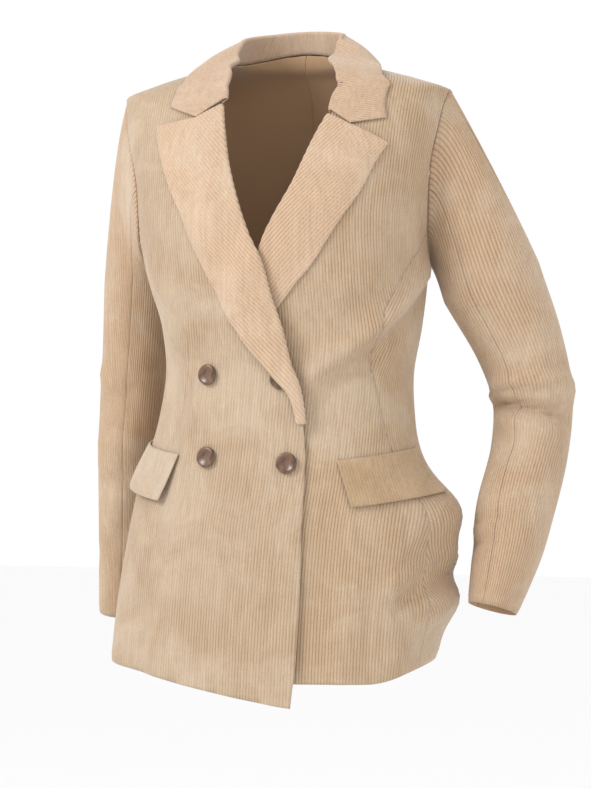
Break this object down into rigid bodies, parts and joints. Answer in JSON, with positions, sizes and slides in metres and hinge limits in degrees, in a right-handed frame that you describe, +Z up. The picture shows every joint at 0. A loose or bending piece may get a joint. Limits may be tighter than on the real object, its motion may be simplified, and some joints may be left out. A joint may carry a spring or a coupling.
{
  "type": "double breasted blazer",
  "caption": "Fitted corduroy blazer with peaked lapels, two columns of buttons, pocket flaps and long sleeves, in the hollow shape it has when worn.",
  "frame": {"origin": "midway between the points where the shoulder seams meet the collar, at their height", "axes": "+Z up, the front faces -Y, the wearer's left is +X"},
  "size_m": [0.6107, 0.2935, 0.8039],
  "materials": {
    "corduroy": "brushed cotton corduroy, sandy beige",
    "horn": "polished brown horn effect"
  },
  "bodies": {
    "root": {"front_right": "corduroy", "front_left": "corduroy", "side_left": "corduroy", "side_right": "corduroy", "back_left": "corduroy", "back_right": "corduroy", "collar": "corduroy", "lapel_right": "corduroy", "lapel_left": "corduroy", "sleeve_right_top": "corduroy", "sleeve_right_under": "corduroy", "sleeve_left_top": "corduroy", "sleeve_left_under": "corduroy", "pocket_flap_right": "corduroy", "pocket_flap_left": "corduroy", "button_upper_right": "horn", "button_upper_left": "horn", "button_lower_right": "horn", "button_lower_left": "horn"}
  },
  "joints": []
}
